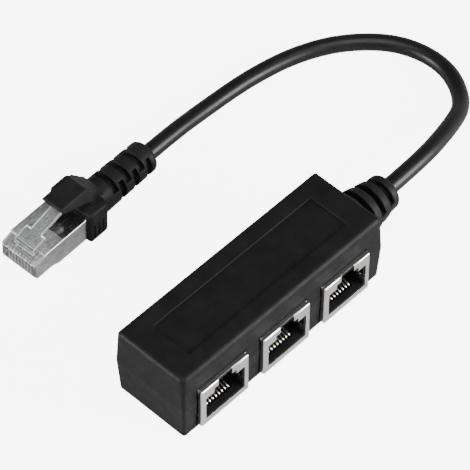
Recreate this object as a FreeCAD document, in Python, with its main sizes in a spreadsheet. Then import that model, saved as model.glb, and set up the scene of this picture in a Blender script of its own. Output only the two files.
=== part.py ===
import FreeCAD, Part
import math
import os
import Sketcher
from FreeCAD import Placement, Rotation, Vector

# An RJ45 splitter: a housing with three shielded jacks, and a short cable to one booted plug.
# +Z is up. The origin is the centre of the housing's underside. The cable leaves towards +X.
# The jacks open towards -Y. All sizes are in millimetres and angles in degrees.

SIZES = [
    # housing
    ("case_height", 21.3),
    ("case_draft", 0.5),
    ("corner_round", 0.85),
    ("roof_round", 0.85),
    ("foot_round", 0.3),
    ("wall", 2.0),
    ("roof", 1.6),
    ("floor_thick", 1.4),
    ("head_room", 3.5),
    ("end_room", 5.35),
    ("label_end_margin", 7.35),
    ("label_side_margin", 5.4),
    ("label_corner", 0.8),
    ("label_depth", 0.5),
    ("lip_height", 1.0),
    ("lip_thick", 0.8),
    ("lip_gap", 0.1),
    ("rib_thick", 1.2),
    ("rib_length", 12.0),
    # jacks
    ("jack_width", 16.0),
    ("jack_depth", 21.0),
    ("jack_space", 5.1),
    ("jack_offset", -0.6),
    ("jack_proud", 1.25),
    ("jack_back_gap", 0.8),
    ("jack_gap", 0.25),
    ("sheet", 0.25),
    ("sheet_bend", 0.45),
    ("mouth_side", 1.5),
    ("mouth_sill", 2.2),
    ("mouth_drop", 3.35),
    ("step_side", 2.7),
    ("step_drop", 1.9),
    ("notch_side", 1.5),
    ("insert_gap", 0.05),
    ("lining", 0.4),
    ("socket_depth", 13.6),
    ("latch_depth", 9.5),
    ("latch_drop", 0.8),
    ("finger_low", 3.8),
    ("finger_high", 2.4),
    ("finger_reach", 0.45),
    ("finger_depth", 2.85),
    ("mitre_width", 0.35),
    ("mitre_start", 0.45),
    ("mitre_length", 0.75),
    ("mitre_depth", 0.4),
    ("peg_radius", 1.55),
    ("peg_inset", 2.285),
    ("peg_back", 8.9),
    ("tab_back", 10.6),
    ("tab_width", 1.4),
    ("contact_pitch", 1.02),
    ("contact_width", 0.45),
    ("contact_thick", 0.35),
    ("contact_front", 2.6),
    ("contact_bend", 0.75),
    ("contact_low", 1.375),
    ("contact_drop", 3.0),
    ("contact_past", 0.5),
    ("comb_high", 3.5),
    ("riser_inset", 1.7),
    ("pin_reach", 5.0),
    ("pin_step", 2.5),
    # board
    ("board_thick", 1.6),
    ("board_gap", 0.25),
    ("board_end_gap", 0.7),
    ("board_tip_gap", 0.15),
    ("board_hole", 0.42),
    # strain relief on the housing
    ("flange_gap", 1.05),
    ("flange_rim", 1.5),
    ("flange_thick", 1.2),
    ("neck_gap", 0.2),
    ("relief_shoulder", 0.74),
    ("relief_tip", 4.9),
    ("relief_cone", 11.8),
    ("relief_collar", 2.1),
    ("relief_round", 1.1),
    ("relief_slot", 1.65),
    ("relief_slot_start", 2.85),
    ("relief_slot_pitch", 3.9),
    ("relief_slot_floor", 3.4),
    ("relief_slot_sweep", 160.0),
    # cable and conductors
    ("cable_radius", 2.3),
    ("bore_gap", 0.15),
    ("cable_lead", 7.0),
    ("climb_early", 0.07),
    ("climb_late", 0.6),
    ("wire_radius", 0.33),
    ("wire_step", 0.8),
    ("wire_rise", 0.5),
    ("column_inset", 0.75),
    ("column_step", 1.0),
    # plug, measured from the centre of its nose, along its own length
    ("plug_x", -26.81),
    ("plug_y", 52.475),
    ("plug_z", 2.95),
    ("plug_yaw", 2.5),
    ("plug_roll", 2.5),
    ("plug_width", 11.7),
    ("plug_head", 6.6),
    ("plug_length", 20.5),
    ("plug_heel", 1.15),
    ("heel_front", 6.0),
    ("heel_back", 9.0),
    ("shell_front", 0.4),
    ("shell_top_front", 3.5),
    ("body_gap", 0.03),
    ("nose_round", 0.7),
    ("nose_front", 4.6),
    ("nose_step", 0.75),
    ("latch_wide", 6.24),
    ("latch_narrow", 3.3),
    ("latch_root", 2.05),
    ("latch_shoulder", 6.4),
    ("latch_tip", 14.2),
    ("latch_root_top", 7.3),
    ("latch_foot", 1.3),
    ("latch_slope", 0.277),
    ("latch_thick", 0.95),
    ("blade_thick", 0.35),
    ("blade_front", 1.9),
    ("blade_back", 5.6),
    ("fan_height", 4.25),
    ("cable_axis", 2.0),
    ("jacket_start", 12.0),
    # boot
    ("boot_overlap", 2.2),
    ("boot_length", 6.6),
    ("boot_wall", 1.3),
    ("boot_under", 1.15),
    ("boot_over", 1.6),
    ("boot_round", 1.1),
    ("grip_start", 1.3),
    ("grip_pitch", 1.5),
    ("grip_width", 0.55),
    ("grip_depth", 0.3),
    ("grip_low", 1.2),
    ("grip_high", 4.2),
    ("hood_reach", 6.1),
    ("hood_rise", 5.3),
    ("hood_thick", 1.25),
    ("hood_wide", 11.2),
    ("hood_narrow", 6.0),
    ("hood_crest", 2.8),
    ("hood_tail", 5.8),
    ("tail_length", 21.1),
    ("tail_base", 4.9),
    ("tail_tip", 4.5),
    ("tail_collar", 1.5),
    ("tail_round", 1.2),
    ("tail_slot", 1.8),
    ("tail_slot_start", 5.85),
    ("tail_slot_pitch", 4.8),
    ("tail_slot_floor", 3.3),
    ("tail_slot_sweep", 124.0),
    ("tail_side_sweep", 100.0),
]

JACKS = 3
CONTACTS = 8
GRIPS = 3
SLOTS = 3

doc = FreeCAD.newDocument("rj45_splitter")
sheet = doc.addObject("Spreadsheet::Sheet", "Sizes")
for row, (alias, number) in enumerate(SIZES, start=1):
    sheet.set(f"A{row}", alias)
    sheet.set(f"B{row}", str(number))
    sheet.setAlias(f"B{row}", alias)
doc.recompute()


class Size:
    """A number that remembers the spreadsheet expression it was worked out with."""

    def __init__(self, value, text):
        self.value = float(value)
        self.text = text

    def __float__(self):
        return self.value

    def join(self, sign, other, swap=False):
        other = as_size(other)
        a, b = (other, self) if swap else (self, other)
        result = {
            "+": lambda: a.value + b.value,
            "-": lambda: a.value - b.value,
            "*": lambda: a.value * b.value,
            "/": lambda: a.value / b.value,
        }[sign]()
        return Size(result, f"({a.text} {sign} {b.text})")

    def __add__(self, other):
        return self.join("+", other)

    def __radd__(self, other):
        return self.join("+", other, True)

    def __sub__(self, other):
        return self.join("-", other)

    def __rsub__(self, other):
        return self.join("-", other, True)

    def __mul__(self, other):
        return self.join("*", other)

    def __rmul__(self, other):
        return self.join("*", other, True)

    def __truediv__(self, other):
        return self.join("/", other)

    def __neg__(self):
        return 0 - self


def as_size(number):
    """Turn a plain number into a Size, and leave a Size as it is."""
    if isinstance(number, Size):
        return number
    return Size(number, f"({float(number):.6f})")


class Named:
    """Every size of the list, by its name."""


S = Named()
for alias, number in SIZES:
    setattr(S, alias, Size(number, f"Sizes.{alias}"))


def bind(item, path, size):
    """Tie one property of a feature to the spreadsheet."""
    item.setExpression(path, as_size(size).text)


# Helpers for sketches and features

def new_body(name, base=(0, 0, 0), rotation=None):
    """A named body whose position is tied to the spreadsheet."""
    body = doc.addObject("PartDesign::Body", name)
    body.Label = name
    body.Placement = Placement(Vector(*[float(v) for v in base]), rotation or Rotation())
    for axis, value in zip("xyz", base):
        bind(body, f"Placement.Base.{axis}", value)
    return body


def origin_plane(body, role):
    """One of the three base planes of a body."""
    return next(item for item in body.Origin.OriginFeatures if item.Role == role)


def draw(body, name, role, offset=0.0, lift=0.0, loops=(), circles=()):
    """A sketch on a base plane, moved by offset along its normal and by lift along its own Y.

    Each loop is a closed outline of straight lines, and each circle is (u, v, radius).
    Every corner, centre and radius is a constraint tied to the spreadsheet.
    """
    sketch = body.newObject("Sketcher::SketchObject", name)
    sketch.AttachmentSupport = [(origin_plane(body, role), "")]
    sketch.MapMode = "FlatFace"
    bind(sketch, "AttachmentOffset.Base.y", lift)
    bind(sketch, "AttachmentOffset.Base.z", offset)
    for corners in loops:
        corners = [(as_size(u), as_size(v)) for u, v in corners]
        points = [Vector(float(u), float(v), 0) for u, v in corners]
        first = sketch.GeometryCount
        lines = [Part.LineSegment(a, b) for a, b in zip(points, points[1:] + points[:1])]
        sketch.addGeometry(lines)
        for i, (u, v) in enumerate(corners):
            here, after = first + i, first + (i + 1) % len(corners)
            sketch.addConstraint(Sketcher.Constraint("Coincident", here, 2, after, 1))
            for kind, value in (("DistanceX", u), ("DistanceY", v)):
                index = sketch.addConstraint(
                    Sketcher.Constraint(kind, -1, 1, here, 1, float(value)))
                bind(sketch, f"Constraints[{index}]", value)
    for u, v, radius in circles:
        centre = Vector(float(u), float(v), 0)
        here = sketch.addGeometry(Part.Circle(centre, Vector(0, 0, 1), float(radius)))
        for kind, value in (("DistanceX", u), ("DistanceY", v)):
            index = sketch.addConstraint(Sketcher.Constraint(kind, -1, 1, here, 3, float(value)))
            bind(sketch, f"Constraints[{index}]", value)
        index = sketch.addConstraint(Sketcher.Constraint("Radius", here, float(radius)))
        bind(sketch, f"Constraints[{index}]", radius)
    sketch.Visibility = False
    return sketch


def rectangle(u0, v0, u1, v1):
    """The four corners of a rectangle."""
    return [(u0, v0), (u1, v0), (u1, v1), (u0, v1)]


def mirrored(corners):
    """A half outline that starts and ends on the middle line, made whole."""
    return list(corners) + [(-as_size(u), v) for u, v in reversed(corners)]


def feature(body, kind, name, sketch, length, back=False, both=False, taper=None):
    """A pad or a pocket of a sketch, with its length tied to the spreadsheet."""
    item = body.newObject(f"PartDesign::{kind}", name)
    item.Profile = sketch
    item.Type = "Length"
    if both:
        item.SideType = "Symmetric"
    item.Reversed = back
    bind(item, "Length", length)
    if taper is not None:
        bind(item, "TaperAngle", taper)
    return item


def turn(body, kind, name, sketch, angle):
    """A revolution or groove about the sketch's own X axis, centred on the sketch's plane."""
    item = body.newObject(f"PartDesign::{kind}", name)
    item.Profile = sketch
    item.ReferenceAxis = (sketch, ["H_Axis"])
    item.Midplane = True
    bind(item, "Angle", angle)
    return item


def round_edges(body, name, radius, wanted):
    """A fillet on each edge of the body that the test picks out."""
    doc.recompute()
    tip = body.Tip
    names = [f"Edge{i}" for i, edge in enumerate(tip.Shape.Edges, start=1) if wanted(edge)]
    if not names:
        raise ValueError(f"{body.Label}: no edge found for {name}")
    fillet = body.newObject("PartDesign::Fillet", name)
    fillet.Base = (tip, names)
    bind(fillet, "Radius", radius)
    return fillet


def along(edge, axis, share=0.95):
    """True where an edge runs almost only along one axis (0, 1 or 2)."""
    if len(edge.Vertexes) < 2:
        return False
    step = edge.Vertexes[-1].Point - edge.Vertexes[0].Point
    return step.Length > 1e-6 and abs(step[axis]) > share * step.Length


def at(edge, axis, value, slack=0.02):
    """True where the whole edge lies in one plane across an axis."""
    low = (edge.BoundBox.XMin, edge.BoundBox.YMin, edge.BoundBox.ZMin)[axis]
    high = (edge.BoundBox.XMax, edge.BoundBox.YMax, edge.BoundBox.ZMax)[axis]
    return abs(low - float(value)) < slack and abs(high - float(value)) < slack


def solid_feature(name, shape, placement=None):
    """A solid that is worked out in code, such as a swept wire."""
    item = doc.addObject("Part::Feature", name)
    item.Label = name
    item.Shape = shape
    if placement is not None:
        item.Placement = placement
    return item


def rounded_wire(points, radii=None, closed=False):
    """Straight runs joined by tangent arcs, as one wire; returns it with the arcs' radii.

    A corner without a radius of its own takes 0.45 of its shorter run as the tangent length.
    A radius of 0 leaves the corner sharp.
    """
    points = [Vector(*[float(v) for v in p]) for p in points]
    count = len(points)
    corners = range(count) if closed else range(1, count - 1)
    ends = {i: (points[i], points[i]) for i in range(count)}
    arcs, used = {}, []
    for i in corners:
        back = points[i - 1] - points[i]
        ahead = points[(i + 1) % count] - points[i]
        half_turn = (math.pi - back.getAngle(ahead)) / 2
        if radii is None:
            tangent = 0.45 * min(back.Length, ahead.Length)
            radius = tangent / math.tan(half_turn)
        else:
            radius = radii[i]
            tangent = radius * math.tan(half_turn)
        if radius == 0:
            continue
        start = points[i] + back.normalize() * tangent
        stop = points[i] + ahead.normalize() * tangent
        inward = (back + ahead).normalize()
        middle = points[i] + inward * (radius / math.cos(half_turn) - radius)
        arcs[i] = Part.Arc(start, middle, stop).toShape()
        ends[i] = (start, stop)
        used.append(radius)
    edges = []
    for i in range(count):
        if i in arcs:
            edges.append(arcs[i])
        if i + 1 < count or closed:
            edges.append(Part.LineSegment(ends[i][1], ends[(i + 1) % count][0]).toShape())
    return Part.Wire(edges), used


def tube(points, radius):
    """A round bar along straight runs joined by tangent arcs."""
    path, radii = rounded_wire(points)
    start = path.Edges[0].Vertexes[0].Point
    heading = path.Edges[0].tangentAt(path.Edges[0].FirstParameter)
    ring = Part.Wire([Part.Circle(start, heading, float(radius)).toShape()])
    shape = path.makePipeShell([ring], True, False)
    expected = math.pi * float(radius) ** 2 * path.Length
    if abs(shape.Volume - expected) > 0.01 * expected:
        raise ValueError("a swept bar does not have the volume of its section and length")
    return shape, radii, path.Length


def strip(points, radii, thick):
    """A flat outline of even thickness along a path, with concentric bends."""
    flat = [Vector(float(u), float(v), 0) for u, v in points]
    half = float(thick) / 2
    count = len(flat)
    sides = []
    for sign in (1, -1):
        line, bends = [], []
        for i in range(count):
            before = (flat[i] - flat[i - 1]).normalize() if i > 0 else None
            after = (flat[i + 1] - flat[i]).normalize() if i < count - 1 else None
            before, after = before or after, after or before
            normal_a = Vector(-before.y, before.x, 0) * sign
            normal_b = Vector(-after.y, after.x, 0) * sign
            spread = normal_a + normal_b
            line.append(flat[i] + spread * (2 * half / spread.Length ** 2))
            left = before.cross(after).z * sign > 0
            bends.append(radii[i] + (-half if left else half) if radii[i] else 0)
        sides.append((line, bends))
    (line_a, bends_a), (line_b, bends_b) = sides
    outline = line_a + line_b[::-1]
    wire, _ = rounded_wire(outline, bends_a + bends_b[::-1], closed=True)
    return Part.Face(wire)


# Housing: two shells that part at the ridge, each drawn in towards its outer face

jack_pitch = S.jack_width + S.jack_space
jack_height = S.case_height - S.roof - S.head_room - S.board_thick - S.floor_thick
case_length = S.jack_width + (JACKS - 1) * jack_pitch + 2 * S.end_room
case_width = S.wall + S.jack_back_gap + S.jack_depth - S.jack_proud
parting = S.case_height / 2
half_length = case_length / 2
half_width = case_width / 2
draft = Size(
    math.degrees(math.atan(float(S.case_draft) / float(parting))),
    f"(atan({S.case_draft.text} / {parting.text}) / 1deg)",
)
jack_foot = S.floor_thick
jack_front = -half_width - S.jack_proud
board_low = jack_foot + jack_height
board_high = board_low + S.board_thick


def inset(distance):
    """The housing's outline at the ridge, moved inwards."""
    x = half_length - distance
    y = half_width - distance
    return rectangle(-x, -y, x, y)


def jack_centre(number):
    """Where the middle of a jack lies along the housing."""
    return S.jack_offset + (number - (JACKS + 1) / 2) * jack_pitch


flange_radius = parting - S.roof - S.flange_gap
neck_radius = flange_radius - S.flange_rim


def cut_openings(body):
    """The three jack openings in the front wall and the cable hole in the end wall."""
    side = S.jack_width / 2 + S.jack_gap
    windows = [
        rectangle(jack_centre(n) - side, jack_foot - S.jack_gap,
                  jack_centre(n) + side, board_low + S.jack_gap)
        for n in range(1, JACKS + 1)
    ]
    sketch = draw(body, body.Label + "_windows", "XZ_Plane", offset=half_width, loops=windows)
    feature(body, "Pocket", body.Label + "_jack_openings", sketch, S.wall)
    hole = neck_radius + S.neck_gap
    sketch = draw(body, body.Label + "_hole", "YZ_Plane", offset=half_length,
                  circles=[(0, parting, hole)])
    feature(body, "Pocket", body.Label + "_cable_hole", sketch, S.wall)


def half_shell(name, upper):
    """One shell before its openings: drafted block, rounded corners, cavity."""
    body = new_body(name)
    sketch = draw(body, name + "_ridge", "XY_Plane", offset=parting, loops=[inset(0)])
    feature(body, "Pad", name + "_block", sketch, parting, back=not upper, taper=-draft)
    round_edges(body, name + "_corners", S.corner_round, lambda e: along(e, 2))
    outer = S.case_height if upper else Size(0, "(0)")
    rim = S.roof_round if upper else S.foot_round
    round_edges(body, name + "_rim", rim, lambda e: at(e, 2, outer))
    sketch = draw(body, name + "_inside", "XY_Plane", offset=parting, loops=[inset(S.wall)])
    depth = parting - (S.roof if upper else S.floor_thick)
    feature(body, "Pocket", name + "_cavity", sketch, depth, back=upper)
    return body


housing_bottom = half_shell("housing_bottom", upper=False)
lip_sketch = draw(housing_bottom, "lip_ring", "XY_Plane", offset=parting,
                  loops=[inset(S.wall - S.lip_thick), inset(S.wall)])
feature(housing_bottom, "Pad", "lip", lip_sketch, S.lip_height)
cut_openings(housing_bottom)

housing_top = half_shell("housing_top", upper=True)
rebate_sketch = draw(housing_top, "rebate_outline", "XY_Plane", offset=parting,
                     loops=[inset(S.wall - S.lip_thick - S.lip_gap)])
feature(housing_top, "Pocket", "rebate", rebate_sketch, S.lip_height + S.lip_gap, back=True)
cut_openings(housing_top)
label_x = half_length - S.label_end_margin
label_y = half_width - S.label_side_margin
label_sketch = draw(housing_top, "label_outline", "XY_Plane", offset=S.case_height,
                    loops=[rectangle(-label_x, -label_y, label_x, label_y)])
feature(housing_top, "Pocket", "label_recess", label_sketch, S.label_depth)
label_floor = float(S.case_height - S.label_depth)
round_edges(
    housing_top, "label_corners", S.label_corner,
    lambda e: along(e, 2) and e.BoundBox.ZMin > label_floor - 0.01
    and abs(e.CenterOfMass.x) < float(label_x) + 0.01)
rib_low = board_high + S.lip_gap
ribs = []
for gap in range(1, JACKS):
    middle = jack_centre(gap) + jack_pitch / 2
    ribs.append(rectangle(middle - S.rib_thick / 2, -S.rib_length / 2,
                          middle + S.rib_thick / 2, S.rib_length / 2))
rib_sketch = draw(housing_top, "rib_outlines", "XY_Plane", offset=S.case_height - S.roof,
                  loops=ribs)
feature(housing_top, "Pad", "board_ribs", rib_sketch, S.case_height - S.roof - rib_low,
        back=True)

# Circuit board: lies on the three jacks, with a hole for each peg, tab, pin and conductor

flange_front = half_length - S.wall - S.lip_gap
flange_back = flange_front - S.flange_thick
board_left = -(half_length - S.wall - S.board_end_gap)
board_right = flange_back - S.board_tip_gap
board_side = half_width - S.wall - S.board_gap
upper_column = board_right - S.column_inset
lower_column = upper_column - S.column_step
riser_back = S.jack_depth - S.riser_inset
pin_row = riser_back - S.pin_reach
peg_side = S.jack_width / 2 - S.peg_inset


def wire_rows(number):
    """Where a conductor leaves the jacket, and where it meets the board or the plug's fan."""
    upper = number % 2 == 1
    place = (number - 1) // 2 - 1.5
    return upper, place * S.wire_step


def pin_place(number, contact):
    """The hole of one contact pin, seen from above."""
    x = jack_centre(number) + (contact - (CONTACTS + 1) / 2) * S.contact_pitch
    y = jack_front + pin_row + (0 if contact % 2 else 1) * S.pin_step
    return x, y


holes = []
slots = []
for n in range(1, JACKS + 1):
    for side in (-1, 1):
        peg_x = jack_centre(n) + side * peg_side
        holes.append((peg_x, jack_front + S.peg_back, S.peg_radius + S.lip_gap))
        tab_x = jack_centre(n) + side * (S.jack_width / 2 - S.sheet / 2)
        tab_y = jack_front + S.tab_back
        half_slot = S.sheet / 2 + S.lip_gap
        slots.append(rectangle(tab_x - half_slot, tab_y - S.tab_width / 2 - S.lip_gap,
                               tab_x + half_slot, tab_y + S.tab_width / 2 + S.lip_gap))
    for contact in range(1, CONTACTS + 1):
        x, y = pin_place(n, contact)
        holes.append((x, y, S.board_hole))
for n in range(1, CONTACTS + 1):
    upper, row_y = wire_rows(n)
    holes.append((upper_column if upper else lower_column, row_y * 2, S.board_hole))
circuit_board = new_body("circuit_board")
board_sketch = draw(
    circuit_board, "board_outline", "XY_Plane", offset=board_low,
    loops=[rectangle(board_left, -board_side, board_right, board_side)] + slots,
    circles=holes)
feature(circuit_board, "Pad", "board", board_sketch, S.board_thick)


# Jacks: each is measured from the middle of its own front face, at its foot

mouth_side = S.jack_width / 2 - S.mouth_side
step_side = mouth_side - S.step_side
notch_side = step_side - S.notch_side
mouth_head = jack_height - S.mouth_drop
step_head = jack_height - S.step_drop
latch_head = jack_height - S.latch_drop


def jack_shield(number):
    """Folded sheet round a jack: stepped mouth, side fingers, open window and board tabs."""
    name = f"jack_shield_{number}"
    body = new_body(name, (jack_centre(number), jack_front, jack_foot))
    side = S.jack_width / 2
    sketch = draw(body, name + "_plan", "XY_Plane",
                  loops=[rectangle(-side, 0, side, S.jack_depth)])
    feature(body, "Pad", name + "_block", sketch, jack_height)
    round_edges(body, name + "_bends", S.sheet_bend,
                lambda e: at(e, 1, 0, 0.001) or along(e, 1, 0.999))
    mouth = mirrored([
        (notch_side, jack_height + 1),
        (notch_side, step_head),
        (step_side, step_head),
        (step_side, mouth_head),
        (mouth_side, mouth_head),
        (mouth_side, S.mouth_sill),
    ])
    sketch = draw(body, name + "_mouth", "XZ_Plane", loops=[mouth])
    feature(body, "Pocket", name + "_opening", sketch, S.sheet + 0.15)
    inner = side - S.sheet
    sketch = draw(body, name + "_section", "XZ_Plane", offset=-S.sheet,
                  loops=[rectangle(-inner, S.sheet, inner, jack_height - S.sheet)])
    feature(body, "Pocket", name + "_inside", sketch, S.jack_depth - 2 * S.sheet)
    window = side - 0.8
    sketch = draw(body, name + "_window", "XY_Plane", offset=jack_height,
                  loops=[rectangle(-window, S.peg_back - 2.4, window, S.jack_depth - S.sheet)])
    feature(body, "Pocket", name + "_board_side", sketch, S.sheet + 0.1)
    mitre_end = S.mitre_start + S.mitre_length
    mitres = [rectangle(hand * (side - S.mitre_width), S.mitre_start, hand * side, mitre_end)
              for hand in (-1, 1)]
    sketch = draw(body, name + "_mitre_plan", "XY_Plane", offset=jack_height, loops=mitres)
    feature(body, "Pocket", name + "_mitres", sketch, S.mitre_depth)
    tabs = []
    fingers = []
    for hand in (-1, 1):
        tabs.append(rectangle(hand * inner, S.tab_back - S.tab_width / 2,
                              hand * side, S.tab_back + S.tab_width / 2))
        edge = mouth_side
        tip = edge - S.finger_reach
        fingers.append([
            (hand * edge, Size(0, "(0)")),
            (hand * tip, S.finger_depth / 2),
            (hand * (edge - S.finger_reach / 2), S.finger_depth),
            (hand * (edge - S.finger_reach / 2 + S.sheet), S.finger_depth - 0.1),
            (hand * (tip + S.sheet), S.finger_depth / 2),
            (hand * (edge + 0.2), S.sheet),
        ])
    tab_start = jack_height - 1
    sketch = draw(body, name + "_tab_plan", "XY_Plane", offset=tab_start, loops=tabs)
    feature(body, "Pad", name + "_tabs", sketch, 1 + S.board_thick + 0.8)
    sketch = draw(body, name + "_finger_plan", "XY_Plane", offset=S.finger_low, loops=fingers)
    feature(body, "Pad", name + "_fingers", sketch, S.finger_high)
    return body


def jack_insert(number):
    """Moulded socket: stepped cavity, contact duct under the floor, comb and board pegs."""
    name = f"jack_insert_{number}"
    body = new_body(name, (jack_centre(number), jack_front, jack_foot))
    gap = S.sheet + S.insert_gap
    side = S.jack_width / 2 - gap
    rear = S.jack_depth - gap
    sketch = draw(body, name + "_plan", "XY_Plane", offset=gap,
                  loops=[rectangle(-side, gap, side, rear)])
    feature(body, "Pad", name + "_block", sketch, jack_height - 2 * gap)
    ledge = side - 0.6
    sketch = draw(body, name + "_ledge_plan", "XY_Plane", offset=jack_height - gap,
                  loops=[rectangle(-ledge, S.peg_back - 2.2, ledge, rear)])
    feature(body, "Pad", name + "_ledge", sketch, gap)
    pegs = [(hand * peg_side, S.peg_back, S.peg_radius) for hand in (-1, 1)]
    sketch = draw(body, name + "_peg_plan", "XY_Plane", offset=jack_height, circles=pegs)
    feature(body, "Pad", name + "_pegs", sketch, S.board_thick + 0.6)
    main = mouth_side - S.lining
    step = step_side - S.lining + 0.1
    latch = notch_side - S.lining / 2
    floor_z = S.mouth_sill + 0.15
    head = mouth_head - S.lining + 0.05
    step_top = step_head - 0.1
    cavity = mirrored([(step, step_top), (step, head), (main, head), (main, floor_z)])
    sketch = draw(body, name + "_cavity_outline", "XZ_Plane", offset=-gap, loops=[cavity])
    feature(body, "Pocket", name + "_cavity", sketch, S.socket_depth)
    sketch = draw(body, name + "_latch_outline", "XZ_Plane", offset=-gap,
                  loops=[rectangle(-latch, step_top - 0.1, latch, latch_head)])
    feature(body, "Pocket", name + "_latch_space", sketch, S.latch_depth)
    recess = main + 0.85
    rooms = [rectangle(hand * (main - 0.1), gap, hand * recess, S.finger_depth + 0.45)
             for hand in (-1, 1)]
    sketch = draw(body, name + "_finger_plan", "XY_Plane", offset=S.finger_low - 0.2,
                  loops=rooms)
    feature(body, "Pocket", name + "_finger_rooms", sketch, S.finger_high + 0.4, back=True)
    low = S.contact_low - 0.375
    duct_top = S.contact_low + 0.375
    back = riser_back + 0.4
    lead = jack_height - 1.1
    trough = S.contact_front - 0.55
    duct = [
        (trough, low),
        (back, low),
        (back, jack_height + 1),
        (pin_row - 0.8, jack_height + 1),
        (pin_row - 0.8, lead),
        (back - 0.8, lead),
        (back - 0.8, duct_top),
        (trough + 2.3, duct_top),
        (trough + 2.3, floor_z + 0.1),
        (trough, floor_z + 0.1),
    ]
    sketch = draw(body, name + "_duct_side", "YZ_Plane", loops=[duct])
    feature(body, "Pocket", name + "_duct", sketch, CONTACTS * S.contact_pitch + 0.45,
            both=True)
    teeth = []
    for contact in range(1, CONTACTS + 1):
        x = (contact - (CONTACTS + 1) / 2) * S.contact_pitch
        teeth.append(rectangle(x - 0.3, head - S.comb_high, x + 0.3, head))
    sketch = draw(body, name + "_comb_outline", "XZ_Plane", offset=-(gap + S.socket_depth),
                  loops=teeth)
    feature(body, "Pocket", name + "_comb", sketch, 2 * S.contact_past)
    return body


def jack_contacts(number):
    """Eight sprung wires: pin, lead, riser, run under the floor, front bend and slanting end.

    The slanting end is the tangent from its tip in the comb to the circle of the front bend.
    """
    bend = float(S.contact_bend)
    low = float(S.contact_low)
    end = float(S.sheet + S.insert_gap + S.socket_depth + S.contact_past)
    end_height = float(mouth_head - S.contact_drop)
    across = end - float(S.contact_front) - bend
    upwards = end_height - low - bend
    rise = math.atan2(upwards, across) - math.asin(bend / math.hypot(across, upwards))
    apex = float(S.contact_front) + bend - bend * math.tan((math.pi - rise) / 2)
    top = float(jack_height + S.board_thick) + 0.9
    lead = float(jack_height) - 0.6
    riser = float(riser_back)
    wide = float(S.contact_width)
    solids = []
    for contact in range(1, CONTACTS + 1):
        pin = float(pin_row) + (0 if contact % 2 else 1) * float(S.pin_step)
        path = [(pin, top), (pin, lead), (riser, lead), (riser, low), (apex, low),
                (end, end_height)]
        face = strip(path, [0, 0, 0, 0, bend, 0], S.contact_thick)
        x = (contact - (CONTACTS + 1) / 2) * float(S.contact_pitch)
        bar = face.extrude(Vector(0, 0, wide))
        bar.Placement = Placement(Vector(x - wide / 2, 0, 0), Rotation(Vector(1, 1, 1), 120))
        solids.append(bar)
    place = Placement(Vector(float(jack_centre(number)), float(jack_front), float(jack_foot)),
                      Rotation())
    return solid_feature(f"jack_contacts_{number}", Part.Compound(solids), place)


shields = [jack_shield(n) for n in range(1, JACKS + 1)]
inserts = [jack_insert(n) for n in range(1, JACKS + 1)]
contacts = [jack_contacts(n) for n in range(1, JACKS + 1)]

# Strain relief: turned about the cable's line, flange inside the wall, slots above and below

strain_relief = new_body("strain_relief", (0, 0, parting))
bore = S.cable_radius + S.bore_gap
relief_base = neck_radius + S.relief_shoulder
cone_start = half_length + 0.05
cone_end = cone_start + S.relief_cone
relief_end = cone_end + S.relief_collar
profile = [
    (flange_back, bore),
    (flange_back, flange_radius),
    (flange_front, flange_radius),
    (flange_front, neck_radius),
    (cone_start, neck_radius),
    (cone_start, relief_base),
    (cone_end, S.relief_tip),
    (relief_end, S.relief_tip - 0.12),
    (relief_end, bore),
]
relief_sketch = draw(strain_relief, "relief_profile", "XZ_Plane", loops=[profile])
turn(strain_relief, "Revolution", "relief_turned", relief_sketch, Size(360, "(360)"))
round_edges(strain_relief, "relief_tip_round", S.relief_round,
            lambda e: at(e, 0, relief_end) and e.BoundBox.ZMax > float(bore) + 0.5)
for name, sign in (("above", 1), ("below", -1)):
    gaps = []
    for i in range(SLOTS):
        middle = cone_start + S.relief_slot_start + i * S.relief_slot_pitch
        gaps.append(rectangle(middle - S.relief_slot / 2, sign * S.relief_slot_floor,
                              middle + S.relief_slot / 2, sign * (relief_base + 1)))
    slot_sketch = draw(strain_relief, f"relief_slots_{name}_profile", "XZ_Plane", loops=gaps)
    turn(strain_relief, "Groove", f"relief_slots_{name}", slot_sketch, S.relief_slot_sweep)

# Plug: every piece is drawn along the plug's own length and shares one placement

plug_rotation = Rotation(float(S.plug_yaw), 0, float(S.plug_roll))
plug_base = (S.plug_x, S.plug_y, S.plug_z)
plug_place = Placement(Vector(*[float(v) for v in plug_base]), plug_rotation)
inner_top = S.plug_head - S.sheet
step_low = S.plug_head - S.nose_step
nose_slope = (step_low - S.nose_front) / S.shell_top_front
heel_inner = -S.plug_heel + S.sheet

# Plug shell: side sheets over the whole length, top sheet behind the latch, heel sheet below

plug_shield = new_body("plug_shield", plug_base, plug_rotation)
shell_side = [
    (S.shell_front, 0),
    (S.heel_front, 0),
    (S.heel_back, -S.plug_heel),
    (S.plug_length, -S.plug_heel),
    (S.plug_length, S.plug_head),
    (S.shell_top_front, S.plug_head),
    (S.shell_top_front, step_low),
    (S.shell_front, S.nose_front + nose_slope * S.shell_front),
]
sketch = draw(plug_shield, "shell_side", "XZ_Plane", loops=[shell_side])
feature(plug_shield, "Pad", "shell_block", sketch, S.plug_width, both=True)
round_edges(plug_shield, "shell_bends", S.sheet + 0.05,
            lambda e: along(e, 0, 0.999) and abs(e.BoundBox.YMin) > float(S.plug_width) / 2 - 0.01
            and not at(e, 2, 0))
hollow = [
    (Size(-1, "(-1)"), -S.plug_heel - 1),
    (S.heel_back, -S.plug_heel - 1),
    (S.heel_back, heel_inner),
    (S.plug_length + 1, heel_inner),
    (S.plug_length + 1, inner_top),
    (S.shell_top_front, inner_top),
    (S.shell_top_front, S.plug_head + 1),
    (Size(-1, "(-1)"), S.plug_head + 1),
]
sketch = draw(plug_shield, "shell_hollow_side", "XZ_Plane", loops=[hollow])
feature(plug_shield, "Pocket", "shell_hollow", sketch, S.plug_width - 2 * S.sheet, both=True)

# Plug body: clear moulding with its latch, blade slots and the room for the conductors

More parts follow.
